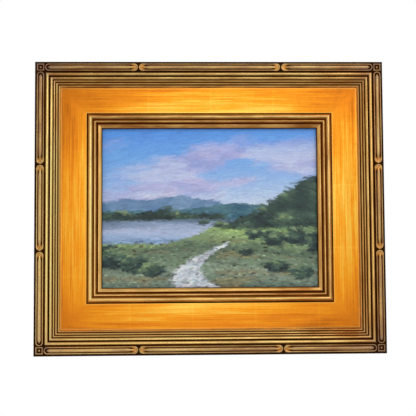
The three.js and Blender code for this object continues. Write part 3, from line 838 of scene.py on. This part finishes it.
class Canvas:
    """Paint laid stroke by stroke: its colour, its thickness and the lie of its bristles."""

    def __init__(self):
        self.x = np.linspace(-PAINTING_WIDTH / 2, PAINTING_WIDTH / 2, CANVAS_COLUMNS)
        self.y = np.linspace(PAINTING_HEIGHT / 2, -PAINTING_HEIGHT / 2, CANVAS_ROWS)
        grid_x, grid_y = np.meshgrid(self.x, self.y)
        self.share_x = np.clip(grid_x / SIGHT_WIDTH + 0.5, 0, 1)
        self.share_y = np.clip(0.5 - grid_y / SIGHT_HEIGHT, 0, 1)
        self.colour = composition(self.share_x, self.share_y)
        self.thickness = np.full(grid_x.shape, 0.25)
        self.lie = flow(self.share_x, self.share_y)

    def stroke(self, x, y, length, width, angle, colour, strength, rng):
        """One stroke of a brush of BRISTLES hairs, bent a little and thinning towards its end."""
        reach_x = abs(math.cos(angle)) * length / 2 + width
        reach_y = abs(math.sin(angle)) * length / 2 + width
        columns = slice(*np.searchsorted(self.x, (x - reach_x, x + reach_x)))
        rows = slice(*np.searchsorted(-self.y, (-y - reach_y, -y + reach_y)))
        dx, dy = np.meshgrid(self.x[columns] - x, self.y[rows] - y)
        if not dx.size:
            return
        along = dx * math.cos(angle) + dy * math.sin(angle)
        bend = rng.normal(0, 0.12) * (along / length * 2) ** 2 * width
        across = (dy * math.cos(angle) - dx * math.sin(angle) + bend) / width * 2
        hair = np.interp(across, np.linspace(-1, 1, BRISTLES), rng.random(BRISTLES))
        tip = np.abs(along) / length * 2 + 0.35 * (hair - 0.5)
        body = fade(np.abs(across), 0.72, 1.02) * fade(tip, 0.78, 1.02)
        load = np.clip(1.25 - 0.45 * (along / length + 0.5) + 0.5 * (hair - 0.5), 0, 1)
        mask = body * load * strength
        streaked = np.clip(colour * (1 + 0.3 * (hair - 0.5))[..., None], 0, 1)
        self.colour[rows, columns] = blend(self.colour[rows, columns], streaked, mask)
        ridge = 0.45 + 0.4 * hair + 0.3 * smooth(np.abs(across), 0.5, 0.85)
        self.thickness[rows, columns] += (ridge * strength - self.thickness[rows, columns]) * mask * 0.8
        firm = mask > 0.4
        self.lie[rows, columns][firm] = angle


def lay_strokes(canvas, count, length, width, jitter, strength, seed, keep=None):
    """Strokes from the top down in the picture's own colours, calmer in the sky and on the water."""
    rng = np.random.default_rng(seed)
    places = rng.random((count, 2))
    places = places[np.argsort(places[:, 1], kind="stable")]
    colours = composition(places[:, 0], places[:, 1])
    angles = flow(places[:, 0], places[:, 1])
    for (px, py), colour, angle in zip(places, colours, angles):
        if keep is not None and not keep(px, py):
            continue
        still = py < 0.52 or on_water(px, py)
        calm = 1.0 if still else 0.62
        lively = jitter * (0.6 if still else 1.9)
        tint = 1 + rng.normal(0, lively) + rng.normal(0, lively * 0.16, 3)
        canvas.stroke(
            (px - 0.5) * (SIGHT_WIDTH + CANVAS_MARGIN), (0.5 - py) * (SIGHT_HEIGHT + CANVAS_MARGIN),
            length * calm * rng.uniform(0.6, 1.35), width * rng.uniform(0.7, 1.3),
            angle + rng.normal(0, 0.10), np.clip(colour * tint, 0, 1), strength, rng,
        )


# Passes of the brush, as (count, length, width, change of tint, strength, seed, where)
BRUSH_PASSES = (
    (1500, 26.0, 6.0, 0.06, 0.75, 101, None),
    (3000, 15.0, 3.4, 0.09, 0.8, 103, None),
    (3600, 9.5, 2.3, 0.14, 0.9, 107, lambda x, y: y > 0.40),
    (900, 12.0, 1.8, 0.10, 0.7, 109, lambda x, y: y < 0.48),
    (2200, 8.0, 1.6, 0.28, 0.9, 113, lambda x, y: y > 0.52 and not on_water(x, y)),
)


def painted():
    canvas = Canvas()
    for brush_pass in BRUSH_PASSES:
        lay_strokes(canvas, *brush_pass)
    return canvas


def painting_mesh():
    """The panel with its paint in relief, and how many of its faces are paint."""
    canvas = painted()
    rows, columns = CANVAS_ROWS, CANVAS_COLUMNS
    grid_x, grid_y = np.meshgrid(canvas.x, canvas.y)
    front = PAINTING_FACE - PAINT_RELIEF * (1 - np.clip(canvas.thickness, 0, 1))
    edge = np.minimum(PAINTING_WIDTH / 2 - np.abs(grid_x), PAINTING_HEIGHT / 2 - np.abs(grid_y))
    rounding = PAINT_EDGE_DROP * fade(edge, -0.01, PAINT_EDGE_WIDTH)
    front = np.minimum(front, PAINTING_FACE - rounding)
    top = np.stack([grid_x, front, grid_y], -1).reshape(-1, 3)
    number = np.arange(rows * columns).reshape(rows, columns)
    quads = np.stack([number[1:, :-1], number[1:, 1:], number[:-1, 1:], number[:-1, :-1]], -1)
    quads = quads.reshape(-1, 4)
    rim = np.concatenate([number[0, :-1], number[:-1, -1], number[-1, :0:-1], number[:0:-1, 0]])
    low = top[rim].copy()
    low[:, 1] = PAINTING_BACK
    below = len(top) + np.arange(len(rim))
    walls = np.stack([rim, np.roll(rim, -1), np.roll(below, -1), below], -1)
    faces = quads.tolist() + walls.tolist() + [below.tolist()]
    vertices = np.concatenate([top, low]) * np.array([1, -1, 1]) + np.array([0, 0, CENTRE_DROP])
    mesh = mesh_from("painting", vertices * MM, faces)
    edge_colour = np.tile(linear(BOARD_EDGE_COLOUR), (len(rim), 1))
    set_colour(mesh, "paint", np.concatenate([canvas.colour.reshape(-1, 3), edge_colour]))
    lie = np.concatenate([canvas.lie.ravel(), np.zeros(len(rim))])
    set_attribute(mesh, "lie", np.stack([np.cos(lie), np.sin(lie), 0 * lie], 1))
    return mesh, len(quads)


# Node helpers


class Nodes:
    """A material's node tree with short calls for the nodes that it uses."""

    def __init__(self, name):
        self.material = bpy.data.materials.new(name)
        self.material.use_nodes = True
        self.tree = self.material.node_tree
        self.shader = self.tree.nodes["Principled BSDF"]

    def add(self, kind, **settings):
        node = self.tree.nodes.new(kind)
        for key, value in settings.items():
            setattr(node, key, value)
        return node

    def put(self, socket, value):
        if isinstance(value, bpy.types.NodeSocket):
            self.tree.links.new(value, socket)
        elif value is not None:
            socket.default_value = value

    def fed(self, kind, inputs, output, **settings):
        """One output of a new node, with its inputs given by name or number."""
        node = self.add(kind, **settings)
        for key, value in inputs.items():
            self.put(node.inputs[key], value)
        return node.outputs[output]

    def given(self, name, output="Fac"):
        """An attribute of the mesh, as a number, a vector or a colour."""
        return self.add("ShaderNodeAttribute", attribute_name=name).outputs[output]

    def place(self):
        return self.add("ShaderNodeNewGeometry").outputs["Position"]

    def split(self, vector):
        node = self.add("ShaderNodeSeparateXYZ")
        self.put(node.inputs[0], vector)
        return node.outputs[0], node.outputs[1], node.outputs[2]

    def join(self, x, y, z=0.0):
        return self.fed("ShaderNodeCombineXYZ", {0: x, 1: y, 2: z}, 0)

    def maths(self, operation, a, b=None, clamp=False):
        return self.fed("ShaderNodeMath", {0: a, 1: b}, 0, operation=operation, use_clamp=clamp)

    plus = partialmethod(maths, "ADD")
    minus = partialmethod(maths, "SUBTRACT")
    times = partialmethod(maths, "MULTIPLY")

    def weighed(self, *parts):
        """The sum of (value, middle, weight) parts, each taken from its middle."""
        total = None
        for value, middle, weight in parts:
            part = self.times(self.minus(value, middle), weight)
            total = part if total is None else self.plus(total, part)
        return total

    def noise(self, vector, scale, detail=3.0, roughness=0.55, distortion=0.0):
        inputs = {
            "Vector": vector, "Scale": scale, "Detail": detail, "Roughness": roughness,
            "Distortion": distortion,
        }
        return self.fed("ShaderNodeTexNoise", inputs, "Fac")

    def streaks(self, places, scales, detail=2.0, roughness=0.55, distortion=0.0):
        """Noise with its own scale along each of its three places; a scale of None leaves one as it is."""
        scaled = [
            place if scale is None else self.times(place, scale)
            for place, scale in zip(places, scales)
        ]
        return self.noise(self.join(*scaled), 1.0, detail, roughness, distortion)

    def range(self, value, low, high, to_low=0.0, to_high=1.0, smoothly=True):
        inputs = {"Value": value, "From Min": low, "From Max": high, "To Min": to_low, "To Max": to_high}
        course = "SMOOTHSTEP" if smoothly else "LINEAR"
        return self.fed("ShaderNodeMapRange", inputs, "Result", interpolation_type=course)

    def ramp(self, value, stops):
        node = self.add("ShaderNodeValToRGB")
        self.put(node.inputs[0], value)
        elements = node.color_ramp.elements
        while len(elements) < len(stops):
            elements.new(1.0)
        for element, (at, colour) in zip(elements, stops):
            element.position = at
            element.color = (*colour, 1)
        return node.outputs["Color"]

    def mix(self, share, a, b, blend_type="MIX"):
        a, b = (c if isinstance(c, bpy.types.NodeSocket) else (*c, 1) for c in (a, b))
        inputs = {0: share, 6: a, 7: b}
        return self.fed("ShaderNodeMix", inputs, 2, data_type="RGBA", blend_type=blend_type)

    def bump(self, height, strength, distance):
        inputs = {"Height": height, "Strength": strength, "Distance": distance}
        return self.fed("ShaderNodeBump", inputs, "Normal")

    def finish(self, **sockets):
        for name, value in sockets.items():
            self.put(self.shader.inputs[name.replace("_", " ")], value)
        return self.material


# Materials, with colours in linear light

LEAF_LENGTH = 0.085
# Tones of the panel's gold from dark to light; the light yellow end is painted sheen.
LEAF_TONES_AND_SHEEN = (
    (0.16, (0.54, 0.150, 0.010)), (0.36, (0.80, 0.24, 0.014)), (0.52, (0.90, 0.35, 0.018)),
    (0.74, (0.93, 0.58, 0.085)),
)
# A painted highlight along both edges of the flat panel
PANEL_EDGE_HIGHLIGHT = (0.98, 0.60, 0.14)
# Crest colours are rubbed gold with painted highlight; flanks and glaze are darkened with painted shade.
BRIGHT_GOLD, BRIGHT_COPPER = (1.0, 0.84, 0.32), (1.0, 0.61, 0.19)
DULL_GOLD, DULL_COPPER = (0.42, 0.23, 0.07), (0.38, 0.15, 0.035)
FLANK_GOLD, FLANK_COPPER = (0.46, 0.205, 0.016), (0.45, 0.130, 0.007)
SMOKE = (0.36, 0.275, 0.225)
GLAZE_AND_SHADE = (0.035, 0.011, 0.0006)


def panel_gold(n, along, across, side, streak, broad, mottle):
    """The flat panel's gold: leaves with their own tones and laps, streaked along the rail, with painted
    sheen and shade.
    """
    waver = n.range(n.noise(n.join(0.0, across, side), 90.0), 0, 1, -0.02, 0.02, False)
    shifted = n.plus(waver, n.times(side, 0.37))
    leaf = n.plus(n.maths("DIVIDE", along, LEAF_LENGTH), shifted)
    leaf_place = {"Vector": n.join(n.maths("FLOOR", leaf), side)}
    tone = n.fed("ShaderNodeTexWhiteNoise", leaf_place, "Value", noise_dimensions="2D")
    within = n.maths("FRACT", leaf)
    lap = n.times(n.range(within, 0.0, 0.006), n.range(within, 0.03, 0.045, 1, 0))
    grain = n.weighed(
        (streak, 0.5, 0.85), (broad, 0.5, 0.50), (tone, 0.5, 0.05), (lap, 0.0, 0.03),
    )
    straight = n.range(n.given("from_mitre"), 0.0, 0.03, 0.15, 1.0)
    light = n.plus(0.5, n.times(grain, straight))
    light = n.plus(light, n.weighed((mottle, 0.5, 0.22)))
    # Painted shade: darker towards the rail's ends, where the sheen falls off
    light = n.minus(light, n.range(n.given("from_middle"), 0.1, 0.85, -0.04, 0.16))
    return n.ramp(n.plus(light, n.given("painted_sheen")), LEAF_TONES_AND_SHEEN)


def moulding_gold(n, along, across, side, streak, broad, glaze_grime_and_shade, smoky):
    """The mouldings' gold: rubbed bright with painted highlight on the crests, darker on the flanks and
    glazed in the grooves with painted shade.
    """
    patch = n.streaks((along, across, side), (26.0, 170.0, None), 5.0, 0.6)
    wear = n.weighed((patch, 0.5, 2.0), (streak, 0.5, 0.6))
    # The crests' brightness holds painted highlight as well as wear.
    brightened = n.plus(n.given("rub_and_highlight"), wear, clamp=True)
    warm = n.plus(n.given("copper_and_warm_light"), n.weighed((broad, 0.5, 1.2)), clamp=True)
    bright = n.mix(warm, BRIGHT_GOLD, BRIGHT_COPPER)
    crest = n.mix(brightened, n.mix(warm, DULL_GOLD, DULL_COPPER), bright)
    crest = n.mix(smoky, crest, SMOKE)
    moulded = n.mix(n.range(glaze_grime_and_shade, 0.06, 0.40), crest, n.mix(warm, FLANK_GOLD, FLANK_COPPER))
    return n.mix(n.range(glaze_grime_and_shade, 0.40, 0.80), moulded, GLAZE_AND_SHADE)


def between(n, across, low, high):
    """1 between two distances from the outer edge, in millimetres, with a soft border inside each."""
    border = 0.6
    above = n.range(across, low * MM, (low + border) * MM)
    return n.times(above, n.range(across, (high - border) * MM, high * MM, 1, 0))


def gilt_material():
    """Gold leaf in laps along each rail, rubbed on the crests and glazed dark in the hollows, with painted
    highlight, sheen and shade.
    """
    n = Nodes("gold_leaf_and_painted_light")
    along, across, _ = n.split(n.given("along_across", "Vector"))
    side = n.given("side")
    rail_place = (along, across, side)
    streak = n.streaks(rail_place, (9.0, 520.0, None), 5.0, 0.62)
    broad = n.streaks(rail_place, (11.0, 90.0, None), 3.0)
    grime = n.streaks(rail_place, (30.0, 700.0, None), 4.0, 0.6)
    mottle = n.noise(n.place(), 160.0, 5.0, 0.65)
    # Dark glaze, grime and painted shade in the grooves
    glaze_grime_and_shade = n.plus(n.given("hollow"), n.weighed((grime, 0.5, 0.45)), clamp=True)
    smoky = n.times(n.given("toned"), n.range(mottle, 0.3, 0.7, 0.35, 1.0))

    moulded = moulding_gold(n, *rail_place, streak, broad, glaze_grime_and_shade, smoky)
    gold = panel_gold(n, *rail_place, streak, broad, mottle)
    outer_edge = n.range(across, (PANEL_START + 0.4) * MM, (PANEL_START + 2.3) * MM, 1, 0)
    inner_edge = n.range(across, (PANEL_END - 2.7) * MM, (PANEL_END - 0.5) * MM)
    # Painted highlight along the panel's edges
    gold = n.mix(n.times(n.plus(outer_edge, inner_edge), 0.3), gold, PANEL_EDGE_HIGHLIGHT)
    on_panel = between(n, across, PANEL_START - 0.2, PANEL_END + 0.1)
    colour = n.mix(on_panel, moulded, gold)

    # Glaze and painted shade also dull the metal
    glaze_and_shade_share = n.times(n.range(glaze_grime_and_shade, 0.15, 0.8), n.minus(1.0, on_panel))
    dull = n.maths("MAXIMUM", glaze_and_shade_share, smoky)
    metal = n.minus(0.97, n.times(dull, 0.6), clamp=True)
    burnish = n.range(mottle, 0.2, 0.8, 0.30, 0.44, False)
    rough = n.plus(burnish, n.times(dull, 0.22))
    relief = n.plus(n.times(streak, 0.7), n.times(mottle, 0.3))
    return n.finish(
        Base_Color=colour, Metallic=metal, Roughness=rough,
        Specular_IOR_Level=n.range(dull, 0.1, 0.6, 0.4, 0.04), Normal=n.bump(relief, 0.3, 0.0004),
    )


def bare_wood_material():
    """Plain pale wood with its grain along the rail."""
    n = Nodes("bare_wood")
    along, across, height = n.split(n.given("along_across", "Vector"))
    grain = n.streaks((along, across, n.given("side")), (9.0, 260.0, None), 5.0, 0.6, 0.4)
    fibre = n.streaks((along, across, height), (60.0, 2600.0, None))
    colour = n.ramp(grain, [
        (0.3, (0.30, 0.17, 0.085)), (0.5, (0.46, 0.29, 0.15)), (0.7, (0.58, 0.39, 0.22)),
    ])
    colour = n.mix(n.range(fibre, 0.35, 0.7, 0.0, 0.35), colour, (0.24, 0.13, 0.06))
    rough = n.range(grain, 0.2, 0.8, 0.58, 0.78, False)
    return n.finish(Base_Color=colour, Roughness=rough, Normal=n.bump(fibre, 0.4, 0.0003))


def paint_material():
    """Oil paint: the strokes' colours with bristle lines along each stroke."""
    n = Nodes("oil_paint")
    place = n.place()
    cos, sin, _ = n.split(n.given("lie", "Vector"))
    x, _, z = n.split(place)
    along = n.plus(n.times(x, cos), n.times(z, sin))
    across = n.minus(n.times(z, cos), n.times(x, sin))
    bristle = n.streaks((along, across, 0.0), (90.0, 2300.0, None), 3.0, 0.6)
    weave = n.noise(place, 1500.0, 2.0)
    shade = n.range(bristle, 0.25, 0.75, 0.86, 1.14, False)
    colour = n.mix(1.0, n.given("paint", "Color"), n.join(shade, shade, shade), "MULTIPLY")
    rough = n.range(bristle, 0.2, 0.8, 0.40, 0.56, False)
    relief = n.plus(n.times(bristle, 0.8), n.times(weave, 0.2))
    return n.finish(
        Base_Color=colour, Roughness=rough, Specular_IOR_Level=0.4, Normal=n.bump(relief, 0.7, 0.00035),
    )


def hardboard_material():
    """Brown hardboard, speckled with its fibres."""
    n = Nodes("hardboard")
    place = n.place()
    speckle = n.noise(place, 900.0, 5.0, 0.7)
    cloud = n.noise(place, 18.0, 4.0)
    colour = n.ramp(speckle, [
        (0.3, (0.15, 0.08, 0.04)), (0.5, (0.26, 0.15, 0.08)), (0.7, (0.36, 0.23, 0.13)),
    ])
    colour = n.mix(n.range(cloud, 0.4, 0.7, 0.0, 0.3), colour, (0.20, 0.12, 0.07))
    rough = n.range(speckle, 0.2, 0.8, 0.6, 0.8, False)
    return n.finish(Base_Color=colour, Roughness=rough, Normal=n.bump(speckle, 0.5, 0.0003))


def steel_material():
    """Zinc-plated steel, dulled and lightly scratched."""
    n = Nodes("plated_steel")
    place = n.place()
    bloom = n.noise(place, 260.0, 4.0, 0.6)
    scratch = n.streaks(n.split(place), (900.0, 900.0, 5200.0))
    colour = n.ramp(bloom, [
        (0.3, (0.36, 0.36, 0.35)), (0.55, (0.55, 0.55, 0.53)), (0.75, (0.66, 0.65, 0.60)),
    ])
    rough = n.plus(n.range(bloom, 0.3, 0.7, 0.24, 0.40, False), n.times(scratch, 0.12))
    return n.finish(Base_Color=colour, Metallic=1.0, Roughness=rough, Normal=n.bump(scratch, 0.2, 0.0001))


def floor_material():
    n = Nodes("pale_floor")
    colour = n.ramp(n.noise(n.place(), 6.0, 3.0), [(0.3, (0.86, 0.86, 0.85)), (0.7, (0.90, 0.90, 0.89))])
    return n.finish(Base_Color=colour, Roughness=0.8)


# Assembly

GRAIN_SHIFT = 3.7


def dress_rails():
    """The four rails, each with its grain shifted against the others'."""
    materials = (gilt_material(), bare_wood_material())
    two_points = (-POINT_SPACING / 2, POINT_SPACING / 2)
    sides = (
        ("top", 0, OUTER_HEIGHT / 2, OUTER_WIDTH, two_points),
        ("right", -1, OUTER_WIDTH / 2, OUTER_HEIGHT, (0,)),
        ("bottom", 2, OUTER_HEIGHT / 2, OUTER_WIDTH, two_points),
        ("left", 1, OUTER_WIDTH / 2, OUTER_HEIGHT, (0,)),
    )
    for number, (side, quarter, out, length, points) in enumerate(sides):
        angle = math.pi / 2 * quarter
        make_rail(side, number * GRAIN_SHIFT, angle, out, length, points, materials)


def dress_painting():
    mesh, paint_count = painting_mesh()
    is_board = np.arange(len(mesh.polygons)) >= paint_count
    give_materials(mesh, (paint_material(), hardboard_material()), is_board, PAINTING_SHARP_ANGLE)
    painting = linked("oil_painting", mesh)
    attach(painting, "root")
    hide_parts("painting_panel")


def dress_steel():
    steel = steel_material()
    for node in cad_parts:
        if node.startswith(("keyhole_hanger", "hanger_screw", "framers_point")):
            mesh = bpy.data.objects[node].data
            mesh.materials.clear()
            mesh.materials.append(steel)


# Camera, light and floor

CAMERA_AZIMUTH = -1.5
CAMERA_ELEVATION = -3.0
CAMERA_ROLL = -0.33
CAMERA_DISTANCE = 1.076
CAMERA_LENS = 67.46
CAMERA_SENSOR = 36
CAMERA_AIM = (-0.0024, 0.0, CENTRE_DROP * MM + 0.0003)
AMBIENT = 0.43
FLOOR_SIZE = 3.0
FLOOR_HEIGHT = -1.15


def add_camera():
    """The camera at the photograph's angle, turned about its own line of sight by the roll."""
    azimuth, elevation, roll = np.radians([CAMERA_AZIMUTH, CAMERA_ELEVATION, CAMERA_ROLL])
    out = math.cos(elevation)
    back = np.array([math.sin(azimuth) * out, -math.cos(azimuth) * out, math.sin(elevation)])
    right = np.cross(-back, (0, 0, 1))
    right /= np.linalg.norm(right)
    up = np.cross(right, -back)
    matrix = np.eye(4)
    matrix[:3, 0] = math.cos(roll) * right + math.sin(roll) * up
    matrix[:3, 1] = math.cos(roll) * up - math.sin(roll) * right
    matrix[:3, 2] = back
    matrix[:3, 3] = np.array(CAMERA_AIM) + back * CAMERA_DISTANCE
    data = bpy.data.cameras.new("camera")
    data.lens = CAMERA_LENS
    data.sensor_width = CAMERA_SENSOR
    camera = linked("camera", data)
    camera.matrix_world = Matrix(matrix.tolist())
    bpy.context.scene.camera = camera


def add_light(name, place, size, power, colour=(1, 1, 1)):
    """A soft light aimed at the middle of the frame."""
    data = bpy.data.lights.new(name, "AREA")
    data.shape = "RECTANGLE"
    data.size, data.size_y = size
    data.energy = power
    data.color = colour
    light = linked(name, data)
    light.location = place
    aim = Vector((0, 0, CENTRE_DROP * MM)) - Vector(place)
    light.rotation_euler = aim.to_track_quat("-Z", "Y").to_euler()


def add_world():
    """A white backdrop that lights the frame with only a share of its brightness."""
    world = bpy.data.worlds.new("studio")
    world.use_nodes = True
    tree = world.node_tree
    background = tree.nodes["Background"]
    path = tree.nodes.new("ShaderNodeLightPath")
    seen = tree.nodes.new("ShaderNodeMapRange")
    seen.inputs["To Min"].default_value = AMBIENT
    seen.inputs["To Max"].default_value = 1.0
    tree.links.new(path.outputs["Is Camera Ray"], seen.inputs["Value"])
    tree.links.new(seen.outputs["Result"], background.inputs["Strength"])
    background.inputs["Color"].default_value = (1, 1, 1, 1)
    bpy.context.scene.world = world
    bpy.context.scene.view_settings.view_transform = "Standard"


def add_stage():
    add_world()
    add_light("key", (0.95, -1.5, 0.95), (1.3, 1.0), 13)
    add_light("fill", (-1.3, -1.4, -0.2), (1.2, 1.6), 1.8, (1.0, 0.93, 0.85))
    add_light("window", (0.05, -2.0, -0.3), (1.2, 0.8), 2.6)
    add_light("lamp", (0.0, -2.0, 0.22), (0.35, 0.25), 1.6)
    bpy.ops.mesh.primitive_grid_add(
        x_subdivisions=8, y_subdivisions=8, size=FLOOR_SIZE, location=(0, 0, FLOOR_HEIGHT),
    )
    floor = bpy.context.object
    floor.name = "floor"
    floor.data.materials.append(floor_material())


add_camera()
add_stage()
dress_rails()
dress_painting()
dress_steel()

bpy.context.view_layer.update()
